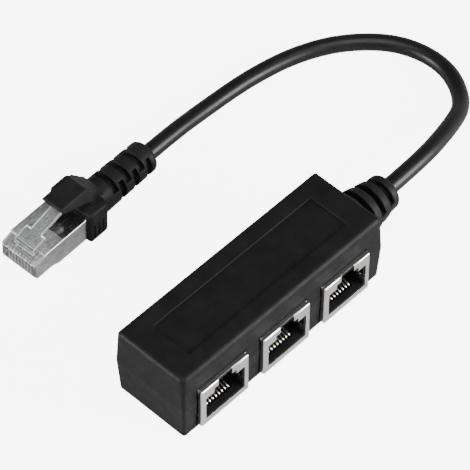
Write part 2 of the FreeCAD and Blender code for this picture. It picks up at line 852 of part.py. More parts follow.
plug_body = new_body("plug_body", plug_base, plug_rotation)
body_width = S.plug_width - 2 * S.sheet - 2 * S.body_gap
body_side = [
    (Size(0, "(0)"), 0),
    (S.heel_front, 0),
    (S.heel_back - S.body_gap, -S.plug_heel + 0.05),
    (S.heel_back - S.body_gap, heel_inner + S.body_gap),
    (S.plug_length - 0.2, heel_inner + S.body_gap),
    (S.plug_length - 0.2, inner_top - S.body_gap),
    (S.shell_top_front, inner_top - S.body_gap),
    (S.shell_top_front, step_low),
    (Size(0, "(0)"), S.nose_front),
]
sketch = draw(plug_body, "body_side", "XZ_Plane", loops=[body_side])
feature(plug_body, "Pad", "body_block", sketch, body_width, both=True)
round_edges(plug_body, "nose_edges", S.nose_round, lambda e: at(e, 0, 0, 0.001))


def latch_top(x):
    """Height of the latch's upper face."""
    return S.latch_root_top + S.latch_slope * (x - 3)


root = S.latch_root
foot = root + S.latch_foot
shoulder_under = latch_top(S.latch_shoulder) - S.latch_thick
wide_side = [
    (root, S.nose_front + nose_slope * root - 0.1),
    (foot, S.nose_front + nose_slope * foot - 0.1),
    (foot, S.plug_head + 0.15),
    (S.latch_shoulder, shoulder_under),
    (S.latch_shoulder, latch_top(S.latch_shoulder)),
    (root + 0.7, latch_top(root + 0.7)),
    (root, S.plug_head - 0.05),
]
sketch = draw(plug_body, "latch_wide_side", "XZ_Plane", loops=[wide_side])
feature(plug_body, "Pad", "latch_root", sketch, S.latch_wide, both=True)
narrow_side = [
    (S.latch_shoulder - 0.5, latch_top(S.latch_shoulder - 0.5) - 0.4),
    (S.latch_shoulder, shoulder_under),
    (S.latch_tip, latch_top(S.latch_tip) - S.latch_thick),
    (S.latch_tip, latch_top(S.latch_tip)),
    (S.latch_shoulder - 0.5, latch_top(S.latch_shoulder - 0.5)),
]
sketch = draw(plug_body, "latch_narrow_side", "XZ_Plane", loops=[narrow_side])
feature(plug_body, "Pad", "latch_lever", sketch, S.latch_narrow, both=True)
room = [
    (S.blade_front - 0.4, S.fan_height - 0.45),
    (S.heel_front - 0.2, S.fan_height - 0.45),
    (S.jacket_start - 1, S.cable_axis - S.cable_radius - 0.15),
    (S.plug_length + 1, S.cable_axis - S.cable_radius - 0.15),
    (S.plug_length + 1, S.fan_height + 0.9),
    (S.jacket_start - 1, S.fan_height + 0.9),
    (S.heel_front + 0.3, S.fan_height + 0.45),
    (S.blade_front - 0.4, S.fan_height + 0.45),
]
sketch = draw(plug_body, "wire_room_side", "XZ_Plane", loops=[room])
feature(plug_body, "Pocket", "wire_room", sketch, CONTACTS * S.contact_pitch + 0.5, both=True)
blade_head = S.fan_height - S.wire_radius - 0.07
blade_slots = []
for contact in range(1, CONTACTS + 1):
    y = (contact - (CONTACTS + 1) / 2) * S.contact_pitch
    half_slot = S.blade_thick / 2 + 0.03
    blade_slots.append(rectangle(S.blade_front - 0.4, y - half_slot,
                                 S.blade_back + 0.03, y + half_slot))
sketch = draw(plug_body, "blade_slot_plan", "XY_Plane", loops=blade_slots)
feature(plug_body, "Pocket", "blade_slots", sketch, blade_head + 0.05, back=True)

blades = []
for contact in range(1, CONTACTS + 1):
    y = (contact - (CONTACTS + 1) / 2) * float(S.contact_pitch)
    thick = float(S.blade_thick)
    blade = Part.makeBox(float(S.blade_back - S.blade_front), thick, float(blade_head) - 0.3,
                         Vector(float(S.blade_front), y - thick / 2, 0.3))
    blades.append(blade)
plug_contacts = solid_feature("plug_contacts", Part.Compound(blades), plug_place)

# Boot: block with side grips, a hood over the latch, and its own slotted tail

plug_boot = new_body("plug_boot", plug_base, plug_rotation)
boot_start = S.plug_length - S.boot_overlap
boot_end = boot_start + S.boot_length
boot_side = S.plug_width / 2 + S.boot_wall
boot_low = -S.plug_heel - S.boot_under
boot_high = S.plug_head + S.boot_over
hood_top = boot_high + S.hood_rise
hood_under = hood_top - S.hood_thick
hood_front = boot_start - S.hood_reach
hood_end = boot_end + 2.4
tail_end = boot_end + S.tail_length
sketch = draw(plug_boot, "boot_section", "YZ_Plane", offset=boot_start,
              loops=[rectangle(-boot_side, boot_low, boot_side, boot_high)])
feature(plug_boot, "Pad", "boot_block", sketch, S.boot_length)
round_edges(plug_boot, "boot_rounding", S.boot_round, lambda e: True)
hood = [
    (hood_front, hood_top),
    (hood_front, hood_under),
    (boot_start + 2.0, boot_high + 2.1),
    (boot_start + 3.2, boot_high + 1.5),
    (boot_start + 3.6, boot_high + 0.9),
    (boot_start + 3.6, boot_high + 0.4),
    (boot_start + 3.1, boot_high - 0.3),
    (boot_end - 0.3, boot_high - 2.7),
    (hood_end, S.cable_axis + 3.5),
    (hood_end - 0.1, boot_high - 1.3),
    (hood_end - 0.9, boot_high + 0.5),
    (boot_start + S.hood_crest, hood_top),
]
sketch = draw(plug_boot, "hood_side", "XZ_Plane", loops=[hood])
feature(plug_boot, "Pad", "hood", sketch, S.hood_wide, both=True)
waste = []
for hand in (-1, 1):
    outside = hand * (S.hood_wide / 2 + 1)
    waste.append([
        (hand * S.hood_narrow / 2, hood_top + 1),
        (hand * S.hood_narrow / 2, hood_top),
        (hand * S.hood_wide / 2, boot_high + 0.2),
        (outside, boot_high + 0.2),
        (outside, hood_top + 1),
    ])
sketch = draw(plug_boot, "hood_taper_section", "YZ_Plane", offset=hood_front - 1, loops=waste)
feature(plug_boot, "Pocket", "hood_taper", sketch, boot_end - hood_front + 4, back=True)
for name, level, corner in (
    ("above", boot_high, boot_start + 1.7),
    ("behind", S.cable_axis, boot_end + 0.01),
):
    waste = []
    for hand in (-1, 1):
        outside = hand * (S.hood_wide / 2 + 1)
        waste.append([
            (corner, outside),
            (corner, hand * S.hood_wide / 2 if name == "above" else hand * S.hood_tail / 2),
            (boot_end - 0.9, hand * (S.hood_tail / 2 + 0.5)) if name == "above"
            else (boot_end + 0.4, hand * S.hood_tail / 2),
            (hood_end + 1, hand * S.hood_tail / 2),
            (hood_end + 1, outside),
        ])
    sketch = draw(plug_boot, f"hood_{name}_plan", "XY_Plane", offset=level, loops=waste)
    feature(plug_boot, "Pocket", f"hood_{name}", sketch, hood_top + 1 - level, back=True)
tail = [
    (boot_end - 1.5, bore),
    (boot_end - 1.5, S.tail_base),
    (boot_end, S.tail_base),
    (tail_end - S.tail_collar, S.tail_tip),
    (tail_end, S.tail_tip),
    (tail_end, bore),
]
sketch = draw(plug_boot, "tail_profile", "XZ_Plane", lift=S.cable_axis, loops=[tail])
turn(plug_boot, "Revolution", "tail_turned", sketch, Size(360, "(360)"))
round_edges(plug_boot, "tail_tip_round", S.tail_round,
            lambda e: at(e, 0, tail_end) and e.BoundBox.YMax > float(bore) + 0.5)
seat = S.plug_width / 2 + 0.05
sketch = draw(plug_boot, "plug_seat_section", "YZ_Plane", offset=boot_start,
              loops=[rectangle(-seat, -S.plug_heel - 0.05, seat, S.plug_head + 0.05)])
feature(plug_boot, "Pocket", "plug_seat", sketch, S.boot_overlap + 0.1, back=True)
sketch = draw(plug_boot, "bore_section", "YZ_Plane", offset=boot_start,
              circles=[(0, S.cable_axis, bore)])
feature(plug_boot, "Pocket", "bore", sketch, tail_end - boot_start + 1, back=True)
grips = []
for i in range(GRIPS):
    x = boot_start + S.grip_start + i * S.grip_pitch
    grips.append(rectangle(x - S.grip_width / 2, -S.grip_low, x + S.grip_width / 2, S.grip_high))
for hand in (-1, 1):
    name = "left" if hand > 0 else "right"
    sketch = draw(plug_boot, f"grip_{name}_outline", "XZ_Plane", offset=-hand * boot_side,
                  loops=grips)
    feature(plug_boot, "Pocket", f"grip_{name}", sketch, S.grip_depth, back=hand > 0)
for name, role, shift, sweep in (
    ("upright", "XZ_Plane", 0.0, S.tail_slot_sweep),
    ("sideways", "XY_Plane", 0.5, S.tail_side_sweep),
):
    for sign in (-1, 1):
        gaps = []
        for i in range(SLOTS):
            middle = boot_end + S.tail_slot_start + (i + shift) * S.tail_slot_pitch
            gaps.append(rectangle(middle - S.tail_slot / 2, sign * S.tail_slot_floor,
                                  middle + S.tail_slot / 2, sign * (S.tail_base + 1)))
        label = f"tail_slots_{name}_{'b' if sign > 0 else 'a'}"
        if role == "XZ_Plane":
            sketch = draw(plug_boot, label + "_profile", role, lift=S.cable_axis, loops=gaps)
        else:
            sketch = draw(plug_boot, label + "_profile", role, offset=S.cable_axis, loops=gaps)
        turn(plug_boot, "Groove", label, sketch, sweep)

# Cable: one round jacket from inside the plug, out along the surface and up into the relief

inside_plug = plug_place.multVec(Vector(float(S.jacket_start), 0, float(S.cable_axis)))
past_boot = plug_place.multVec(Vector(float(tail_end + S.cable_lead), 0, float(S.cable_axis)))
rest = float(S.cable_radius) + 0.05
climb = float(parting) - rest
cable_points = [
    inside_plug,
    past_boot,
    (42.1, 55.78, rest + 0.25),
    (57.6, 55.08, rest),
    (72.0, 52.08, rest),
    (84.3, 45.68, rest),
    (93.9, 34.78, rest),
    (95.8, 20.98, rest),
    (88.9, 9.2, rest + climb * float(S.climb_early)),
    (77.0, 3.95, rest + climb * float(S.climb_late)),
    (59.0, 0.0, float(parting)),
    (float(flange_back), 0.0, float(parting)),
]
cable_shape, cable_radii, cable_length = tube(cable_points, S.cable_radius)
cable = solid_feature("cable", cable_shape)
print("cable length", round(cable_length, 1), "bend radii", [round(r, 1) for r in cable_radii])

# Conductors: eight at each end of the jacket

board_wires = []
plug_wires = []
for n in range(1, CONTACTS + 1):
    upper, row_y = wire_rows(n)
    row_y = float(row_y)
    row_z = float(S.wire_rise if upper else -S.wire_rise)
    column = float(upper_column if upper else lower_column)
    level = float(parting) + row_z
    points = [
        (float(flange_back), row_y, level),
        (column, row_y, level),
        (column, row_y * 2, float(board_low) - 0.8),
        (column, row_y * 2, float(board_high) + 0.4),
    ]
    shape, _, _ = tube(points, S.wire_radius)
    board_wires.append(solid_feature(f"board_wire_{n}", shape))
    fan_y = (n - (CONTACTS + 1) / 2) * float(S.contact_pitch)
    start_z = float(S.cable_axis) + row_z
    leave = float(S.jacket_start) - (1.0 if upper else 1.8)
    level_off = float(S.heel_front) + (2.6 if upper else 1.4)
    points = [
        (float(S.jacket_start), row_y, start_z),
        (leave, row_y, start_z),
        (level_off, fan_y, float(S.fan_height)),
        (float(S.blade_front) - 0.2, fan_y, float(S.fan_height)),
    ]
    shape, _, _ = tube(points, S.wire_radius)
    plug_wires.append(solid_feature(f"plug_wire_{n}", shape, plug_place))

# Check every feature and write one file for each piece

doc.recompute()
for item in doc.Objects:
    if any(word in item.State for word in ("Invalid", "Error")):
        raise RuntimeError(f"{item.Label} did not build: {item.State}")

pieces = [housing_bottom, housing_top, circuit_board] + shields + inserts + contacts
pieces += [strain_relief, cable] + board_wires
pieces += [plug_boot, plug_shield, plug_body, plug_contacts] + plug_wires
os.makedirs("parts", exist_ok=True)
for piece in pieces:
    shape = piece.Shape
    if shape.isNull() or not shape.isValid() or not shape.Solids:
        raise RuntimeError(f"{piece.Label} is not a valid solid")
    shape.exportStep(f"parts/{piece.Label}.step")
    print(piece.Label, "solids", len(shape.Solids), "volume", round(shape.Volume, 1))
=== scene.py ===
# %% [markdown]
# # A network splitter with three jacks and one plug
# The solids of the housing, jacks, boot and plug come from the CAD model, at their real size.
# Blender's work is the rest: the camera and the light, the free lie of the cable, the soft
# edges that catch a highlight, and the finish of each material.
# Everything is in metres, in the CAD model's own frame: +Z is up, the cable leaves at +X and
# the jacks open towards -Y. Sizes are written in millimetres, times MM.

import math

import bmesh
import bpy
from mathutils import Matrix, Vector


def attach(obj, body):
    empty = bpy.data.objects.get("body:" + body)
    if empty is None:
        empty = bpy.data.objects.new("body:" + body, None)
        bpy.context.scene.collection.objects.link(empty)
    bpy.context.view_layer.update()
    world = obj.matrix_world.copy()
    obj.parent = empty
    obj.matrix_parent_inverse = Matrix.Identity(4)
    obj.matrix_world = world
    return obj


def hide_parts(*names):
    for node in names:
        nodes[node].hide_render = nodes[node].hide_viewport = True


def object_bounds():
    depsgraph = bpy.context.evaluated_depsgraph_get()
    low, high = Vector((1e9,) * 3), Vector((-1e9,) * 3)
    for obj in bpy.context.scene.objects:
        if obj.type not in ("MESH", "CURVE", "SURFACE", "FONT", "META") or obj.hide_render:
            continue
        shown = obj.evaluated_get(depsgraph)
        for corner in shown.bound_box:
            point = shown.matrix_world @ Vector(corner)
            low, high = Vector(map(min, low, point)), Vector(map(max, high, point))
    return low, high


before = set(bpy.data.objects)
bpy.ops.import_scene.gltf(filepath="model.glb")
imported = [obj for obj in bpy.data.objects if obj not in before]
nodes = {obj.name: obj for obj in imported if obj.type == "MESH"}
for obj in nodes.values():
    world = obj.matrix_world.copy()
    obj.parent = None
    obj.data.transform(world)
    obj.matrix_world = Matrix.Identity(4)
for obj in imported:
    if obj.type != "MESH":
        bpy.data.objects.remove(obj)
cad_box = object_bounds()
MM = 0.001
print("nodes:", len(nodes), "box:", [[round(v, 4) for v in corner] for corner in cad_box])

# %% [markdown]
# ## Camera
# A photograph of a small product is taken from far away with a long lens, so its lines stay
# nearly parallel. A camera can be set by eye, but then each outline is off by a little. So
# azimuth, elevation and distance were solved from the housing's corners in the photograph, and
# the camera is built from its three axes: right, up and back. It aims a little to the left of
# the housing's middle and well above it in the picture, which brings the cable into view.

# %% Camera at the photograph's angle
AZIMUTH = math.radians(-46.317)
ELEVATION = math.radians(50.632)
DISTANCE = 725.7 * MM
AIM_RIGHT = -3.914 * MM
AIM_UP = 16.5 * MM
SENSOR_WIDTH = 36
PICTURE_PIXELS = 470
LENS_IN_PIXELS = 3045.4
right = Vector((math.cos(AZIMUTH), math.sin(AZIMUTH), 0))
back = Vector((
    math.sin(AZIMUTH) * math.cos(ELEVATION),
    -math.cos(AZIMUTH) * math.cos(ELEVATION),
    math.sin(ELEVATION),
))
up = back.cross(right)
housing_middle = Vector((0, -0.225, 10)) * MM
target = housing_middle + right * AIM_RIGHT + up * AIM_UP

camera_data = bpy.data.cameras.new("camera")
camera_data.sensor_width = SENSOR_WIDTH
camera_data.lens = LENS_IN_PIXELS * SENSOR_WIDTH / PICTURE_PIXELS
camera_data.clip_start = 0.01
camera_data.clip_end = 20
camera = bpy.data.objects.new("camera", camera_data)
bpy.context.collection.objects.link(camera)
camera.location = target + back * DISTANCE
camera.rotation_euler = back.to_track_quat("Z", "Y").to_euler()
bpy.context.scene.camera = camera
print("camera at", [round(v, 3) for v in camera.location], "lens", round(camera_data.lens, 1))

# %% [markdown]
# ## Nodes
# A material is a tree of nodes, and so is the room round the object. A few helpers make the
# nodes that this script needs again and again.


# %% Helpers for node trees
def shader_material(name):
    """A new material, with its node tree and its main shader."""
    material = bpy.data.materials.new(name)
    material.use_nodes = True
    tree = material.node_tree
    return material, tree, tree.nodes["Principled BSDF"]


def link(tree, source, target_socket):
    """Join two sockets."""
    tree.links.new(source, target_socket)


def maths(tree, operation, *values):
    """The result of a Math node, whose values are numbers or other nodes' outputs."""
    node = tree.nodes.new("ShaderNodeMath")
    node.operation = operation
    for socket, value in zip(node.inputs, values):
        if isinstance(value, float):
            socket.default_value = value
        else:
            link(tree, value, socket)
    return node.outputs["Value"]


def axes(tree, vector):
    """The X, Y and Z of a vector, as three outputs."""
    node = tree.nodes.new("ShaderNodeSeparateXYZ")
    link(tree, vector, node.inputs["Vector"])
    return node.outputs


def spread(tree, value, low, high, start=0.3, stop=0.7, curve="LINEAR"):
    """Spread a value between two numbers: low at the start, high at the stop."""
    node = tree.nodes.new("ShaderNodeMapRange")
    node.interpolation_type = curve
    node.inputs["From Min"].default_value = start
    node.inputs["From Max"].default_value = stop
    node.inputs["To Min"].default_value = low
    node.inputs["To Max"].default_value = high
    link(tree, value, node.inputs["Value"])
    return node.outputs["Result"]


# %% [markdown]
# ## Table
# A product shot on pure white has its table lit apart from the object, so the table burns out
# to white in the picture while the object still gets plain soft light. Here the table is a
# plain pale surface, and only the rays that the camera sends straight to it also find a glow.
# Without the glow the table would come out grey, and with a glow for all rays it would light
# the object from below.

# %% White table
TABLE_REACH = 3.0
TABLE_GREY = 0.46
TABLE_GLOW = 7.0
floor_mesh = bpy.data.meshes.new("table_top")
floor_mesh.from_pydata(
    [(x * TABLE_REACH, y * TABLE_REACH, 0) for x, y in ((-1, -1), (1, -1), (1, 1), (-1, 1))],
    [], [(0, 1, 2, 3)])
floor = bpy.data.objects.new("table_top", floor_mesh)
bpy.context.collection.objects.link(floor)

table_white, table_tree, table_shader = shader_material("white_table")
table_shader.inputs["Base Color"].default_value = (TABLE_GREY, TABLE_GREY, TABLE_GREY, 1)
table_shader.inputs["Roughness"].default_value = 0.8
table_shader.inputs["Emission Color"].default_value = (1, 1, 1, 1)
ray_kind = table_tree.nodes.new("ShaderNodeLightPath")
glow = maths(table_tree, "MULTIPLY", ray_kind.outputs["Is Camera Ray"], TABLE_GLOW)
link(table_tree, glow, table_shader.inputs["Emission Strength"])
floor.data.materials.append(table_white)
print("table:", floor.name, "glow for the camera:", TABLE_GLOW)

# %% [markdown]
# ## Lamps and room
# The highlights are wide and soft, so the lamps are large: one overhead, one low in front of
# the jacks, and one low on the plug's side. A picture of a studio wrapped round the scene would
# do as well, but lamps and a plain room can be moved and dimmed one by one. A top face mirrors
# the room behind the object, and a side face mirrors the table. The room is grey and the table
# white, so the roof stays dark and the sides and the nickel turn light.


# %% Studio lamps
def lamp(name, place, aim, size, power):
    """A white area lamp of a width and height, turned to face a point, all in millimetres."""
    data = bpy.data.lights.new(name, "AREA")
    data.shape = "RECTANGLE"
    data.size = size[0] * MM
    data.size_y = size[1] * MM
    data.energy = power
    item = bpy.data.objects.new(name, data)
    bpy.context.collection.objects.link(item)
    item.location = Vector(place) * MM
    away = item.location - Vector(aim) * MM
    item.rotation_euler = away.to_track_quat("Z", "Y").to_euler()
    return item


lamps = [
    lamp("overhead", place=(-140, -160, 620), aim=(20, 20, 0), size=(560, 560), power=4.4),
    lamp("right_front", place=(320, -480, 190), aim=(0, 0, 10), size=(280, 340), power=9.5),
    lamp("left_back", place=(-480, 290, 120), aim=(0, 10, 10), size=(280, 220), power=5.6),
]
print("lamps:", [item.name for item in lamps])

# %% Room: pale walls and a dark ceiling
WALL_GLOW = 0.6
CEILING_GLOW = 0.08
CEILING_FROM = 0.7
world = bpy.data.worlds.new("grey_room")
world.use_nodes = True
room = world.node_tree
background = room.nodes["Background"]
background.inputs["Color"].default_value = (1, 1, 1, 1)
heading = room.nodes.new("ShaderNodeTexCoord")
height = axes(room, heading.outputs["Generated"])["Z"]
fade = spread(room, height, WALL_GLOW, CEILING_GLOW, 0.0, CEILING_FROM, curve="SMOOTHSTEP")
link(room, fade, background.inputs["Strength"])
bpy.context.scene.world = world
print("room:", world.name, "walls", WALL_GLOW, "ceiling", CEILING_GLOW)

# %% [markdown]
# ## Material helpers
# Every finish starts from the same few tools: a noise read in Object coordinates, so that it
# sticks to the piece, a ramp that spreads it between two colours, and a bump. A painted picture
# would need unwrapping and shows seams, and a noise has neither seams nor a limit of detail.


# %% Texture tools
def object_coords(tree, stretch=None):
    """Object coordinates, each axis stretched by its own factor if three are given."""
    coords = tree.nodes.new("ShaderNodeTexCoord").outputs["Object"]
    if stretch is None:
        return coords
    mapping = tree.nodes.new("ShaderNodeMapping")
    mapping.inputs["Scale"].default_value = stretch
    link(tree, coords, mapping.inputs["Vector"])
    return mapping.outputs["Vector"]


def noise(tree, vector, per_metre, detail, rough=0.55):
    """Noise with about that many cells to the metre."""
    node = tree.nodes.new("ShaderNodeTexNoise")
    node.inputs["Scale"].default_value = per_metre
    node.inputs["Detail"].default_value = detail
    node.inputs["Roughness"].default_value = rough
    link(tree, vector, node.inputs["Vector"])
    return node.outputs["Fac"]


def two_tone(tree, value, dark, light, start=0.3, stop=0.7):
    """Spread a noise between two colours."""
    node = tree.nodes.new("ShaderNodeValToRGB")
    node.color_ramp.elements[0].position = start
    node.color_ramp.elements[0].color = (*dark, 1)
    node.color_ramp.elements[1].position = stop
    node.color_ramp.elements[1].color = (*light, 1)
    link(tree, value, node.inputs["Fac"])
    return node.outputs["Color"]


def blend(tree, factor, first, second):
    """The first colour where the factor is 0 and the second where it is 1."""
    node = tree.nodes.new("ShaderNodeMix")
    node.data_type = "RGBA"
    link(tree, factor, node.inputs["Factor"])
    for place, colour in (("A", first), ("B", second)):
        if isinstance(colour, tuple):
            node.inputs[place].default_value = (*colour, 1)
        else:
            link(tree, colour, node.inputs[place])
    return node.outputs["Result"]


def relief(tree, shader, height, depth, under=None):
    """Bump the surface by a height times a depth in metres, over an earlier bump if given."""
    node = tree.nodes.new("ShaderNodeBump")
    node.inputs["Distance"].default_value = depth
    link(tree, height, node.inputs["Height"])
    if under is not None:
        link(tree, under, node.inputs["Normal"])
    link(tree, node.outputs["Normal"], shader.inputs["Normal"])
    return node.outputs["Normal"]


# %% [markdown]
# ## Rounded rims
# A moulding's edges are rounder than the bevel that its mesh can carry, and a wider bevel would
# eat into the narrow ribs beside it. So the wide rounding is shaded: the Bevel node turns the
# normal over near a sharp edge, and the highlight falls as on a round one. On the housing only
# the roof's rim is that round. The label recess in the middle and the seam below stay crisp.


# %% Shaded rounding
RECESS_WITHIN = 7.5 * MM
ROOF_MIDDLE_WITHIN = 29 * MM
RIM_ABOVE = 16 * MM
RIM_SAMPLES = 8


def roof_rim(tree):
    """1 near the rim of the housing's roof, else 0.

    It is 1 farther from the middle than the recess, across or along, and above the seam.
    """
    place = axes(tree, object_coords(tree))
    beside, beyond = (
        maths(tree, "GREATER_THAN", maths(tree, "ABSOLUTE", place[axis]), limit)
        for axis, limit in (("Y", RECESS_WITHIN), ("X", ROOF_MIDDLE_WITHIN)))
    high = maths(tree, "GREATER_THAN", place["Z"], RIM_ABOVE)
    return maths(tree, "MULTIPLY", maths(tree, "MAXIMUM", beside, beyond), high)


def soft_rim(tree, radius, only_at=None):
    """A normal rounded over within a radius of each sharp edge, or only where a mask is 1."""
    node = tree.nodes.new("ShaderNodeBevel")
    node.samples = RIM_SAMPLES
    node.inputs["Radius"].default_value = radius
    if only_at is not None:
        limited = spread(tree, only_at(tree), 0.0, radius, 0.0, 1.0)
        link(tree, limited, node.inputs["Radius"])
    return node.outputs["Normal"]


# %% [markdown]
# ## Black plastics
# The housing is moulded in a satin black with a very fine spark-eroded grain: dark and even,
# with a soft grey sheen where the light grazes it. The boot and the cable are softer and a
# little duller. One flat colour would do from afar, but close by it looks like no real
# moulding. So all are one recipe: a dark colour with slight clouding, a roughness that varies,
# a fine grain and a long shallow waviness from the mould.


# %% Black plastic recipe
GRAIN_DEPTH = 0.01 * MM


def black_plastic(name, dark, light, smooth, dull, gloss, grain_per_metre, wave_depth,
                  rim=0.0, only_at=None):
    """A moulded black between two tones and two roughnesses, with grain and waviness."""
    material, tree, shader = shader_material(name)
    shader.inputs["Specular IOR Level"].default_value = gloss
    vector = object_coords(tree)
    clouds = noise(tree, vector, per_metre=180, detail=4)
    link(tree, two_tone(tree, clouds, dark, light), shader.inputs["Base Color"])
    patches = noise(tree, vector, per_metre=420, detail=5, rough=0.65)
    link(tree, spread(tree, patches, smooth, dull), shader.inputs["Roughness"])
    waves = noise(tree, vector, per_metre=70, detail=1)
    rounded = soft_rim(tree, rim, only_at) if rim else None
    under = relief(tree, shader, waves, wave_depth, under=rounded)
    grain = noise(tree, vector, per_metre=grain_per_metre, detail=2, rough=0.6)
    relief(tree, shader, grain, GRAIN_DEPTH, under=under)
    return material


housing_black = black_plastic(
    "housing_black", dark=(0.0056, 0.0056, 0.0058), light=(0.0086, 0.0086, 0.0088),
    smooth=0.38, dull=0.52, gloss=0.115, grain_per_metre=5200, wave_depth=0.1 * MM,
    rim=2.2 * MM, only_at=roof_rim)
socket_black = black_plastic(
    "socket_black", dark=(0.006, 0.006, 0.0065), light=(0.01, 0.01, 0.0105),
    smooth=0.42, dull=0.55, gloss=0.2, grain_per_metre=6000, wave_depth=0.03 * MM)
boot_black = black_plastic(
    "boot_black", dark=(0.008, 0.008, 0.0083), light=(0.0126, 0.0126, 0.0129),
    smooth=0.42, dull=0.54, gloss=0.085, grain_per_metre=4200, wave_depth=0.1 * MM,
    rim=0.6 * MM)
jacket_black = black_plastic(
    "jacket_black", dark=(0.0045, 0.0045, 0.005), light=(0.0072, 0.0072, 0.0078),
    smooth=0.34, dull=0.42, gloss=0.25, grain_per_metre=3000, wave_depth=0.18 * MM)
print("blacks:", [m.name for m in (housing_black, socket_black, boot_black, jacket_black)])

# %% [markdown]
# ## Nickel and gold
# Nickel plated sheet is bright but not a mirror: rolling leaves fine lines along it, and
# handling leaves dull patches. A noise stretched along one axis gives such lines on every
# sheet. The contacts have a thin flash of gold. The jacks' contacts are narrow strip with
# rounded edges, so they get a shaded rounding too.


# %% Plated metal recipe
def plated(name, dark, light, smooth, dull, stretch, line_depth, wave_depth, rim=0.0):
    """Plated sheet between two tones and roughnesses, with fine rolling lines along one axis."""
    material, tree, shader = shader_material(name)
    shader.inputs["Metallic"].default_value = 1.0
    vector = object_coords(tree)
    clouds = noise(tree, vector, per_metre=260, detail=4)
    link(tree, two_tone(tree, clouds, dark, light), shader.inputs["Base Color"])
    lines = noise(tree, object_coords(tree, stretch), per_metre=900, detail=3, rough=0.6)
    link(tree, spread(tree, lines, smooth, dull), shader.inputs["Roughness"])
    waves = noise(tree, vector, per_metre=120, detail=1)
    rounded = soft_rim(tree, rim) if rim else None
    under = relief(tree, shader, waves, wave_depth, under=rounded)
    relief(tree, shader, lines, line_depth, under=under)
    return material


jack_nickel = plated(
    "jack_nickel", dark=(0.68, 0.665, 0.645), light=(0.76, 0.75, 0.73),
    smooth=0.2, dull=0.25, stretch=(1, 0.15, 6), line_depth=0.0002 * MM, wave_depth=0.02 * MM)
plug_nickel = plated(
    "plug_nickel", dark=(0.4, 0.39, 0.375), light=(0.6, 0.59, 0.575),
    smooth=0.16, dull=0.3, stretch=(0.6, 2, 2), line_depth=0.003 * MM, wave_depth=0.04 * MM)
contact_gold = plated(
    "contact_gold", dark=(0.44, 0.4, 0.33), light=(0.58, 0.53, 0.45),
    smooth=0.2, dull=0.3, stretch=(6, 0.3, 6), line_depth=0.001 * MM, wave_depth=0.01 * MM,
    rim=0.22 * MM)
blade_gold = plated(
    "blade_gold", dark=(0.4, 0.35, 0.27), light=(0.55, 0.5, 0.4),
    smooth=0.3, dull=0.42, stretch=(6, 0.3, 6), line_depth=0.001 * MM, wave_depth=0.01 * MM)
print("metals:", [m.name for m in (jack_nickel, plug_nickel, contact_gold, blade_gold)])

# %% [markdown]
# ## Clear plastic
# The plug's body and its latch are clear polycarbonate. Refraction alone would let the latch
# vanish against the white table. So each moulded edge gets a painted highlight, a thin pale
# line where the real edges catch the light: the Bevel node finds the edges, by how far its
# rounded normal leans from the true one. The nose's front face gets a grey mottle: painted
# shade for the dark slots of the blades, and a stand-in for the wires' ends, which lie just
# behind it. To find that face, the material reads its place in the plug's own frame, which
# lies a little turned and rolled on the table.

# %% The plug's own frame
PLUG_ORIGIN = (-26.81, 52.475, 2.95)
PLUG_TILT = math.radians(2.5)


def plug_coords(tree):
    """Coordinates in the plug's own frame: X back from its nose, Y to the left, Z up."""
    turned = tree.nodes.new("ShaderNodeMapping")
    turned.vector_type = "TEXTURE"
    turned.inputs["Location"].default_value = [v * MM for v in PLUG_ORIGIN]
    turned.inputs["Rotation"].default_value = (PLUG_TILT, 0, PLUG_TILT)
    link(tree, object_coords(tree), turned.inputs["Vector"])
    return axes(tree, turned.outputs["Vector"])


# %% Edges as a mask
FLAT_LIKENESS = 0.99
EDGE_LIKENESS = 0.9
EDGE_SAMPLES = 6


def edge_mask(tree, radius):
    """1 along sharp edges and 0 on flat faces: how far a rounded normal leans from the true one.

    The likeness of the two normals is their dot product, 1 where they agree.
    """
    rounded = tree.nodes.new("ShaderNodeBevel")
    rounded.samples = EDGE_SAMPLES
    rounded.inputs["Radius"].default_value = radius
    surface = tree.nodes.new("ShaderNodeNewGeometry")
    likeness = tree.nodes.new("ShaderNodeVectorMath")
    likeness.operation = "DOT_PRODUCT"
    link(tree, rounded.outputs["Normal"], likeness.inputs[0])
    link(tree, surface.outputs["True Normal"], likeness.inputs[1])
    return spread(tree, likeness.outputs["Value"], 0.0, 1.0, FLAT_LIKENESS, EDGE_LIKENESS)


# %% Clear plastic with painted highlights along its edges
POLYCARBONATE_IOR = 1.58
CLEARNESS = 0.94
EDGE_HIGHLIGHT_WIDTH = 0.3 * MM
NOSE_FACE = 0.3 * MM
clear_plastic, clear_tree, clear_shader = shader_material("clear_plastic")
clear_shader.inputs["IOR"].default_value = POLYCARBONATE_IOR
clear_vector = object_coords(clear_tree)
# Painted highlight: a mask of the sharp edges, where the colour is made white and opaque.
edge_highlight_mask = edge_mask(clear_tree, EDGE_HIGHLIGHT_WIDTH)
clear_clouds = noise(clear_tree, clear_vector, per_metre=300, detail=3)
nose_shade_mottle = noise(clear_tree, clear_vector, per_metre=1300, detail=2)
clear_patches = noise(clear_tree, clear_vector, per_metre=900, detail=3)
clear_waves = noise(clear_tree, clear_vector, per_metre=350, detail=2)
body_tint = two_tone(clear_tree, clear_clouds, (0.9, 0.93, 0.925), (0.97, 0.985, 0.985))
# Painted shade: a grey mottle darkens the nose's front face for the shaded blade slots behind
# it, and stands in for the wires' ends there.
nose_painted_shade = two_tone(clear_tree, nose_shade_mottle, (0.4, 0.41, 0.41), (0.85, 0.86, 0.86))
on_nose = maths(clear_tree, "LESS_THAN", plug_coords(clear_tree)["X"], NOSE_FACE)
tint = blend(clear_tree, on_nose, body_tint, nose_painted_shade)
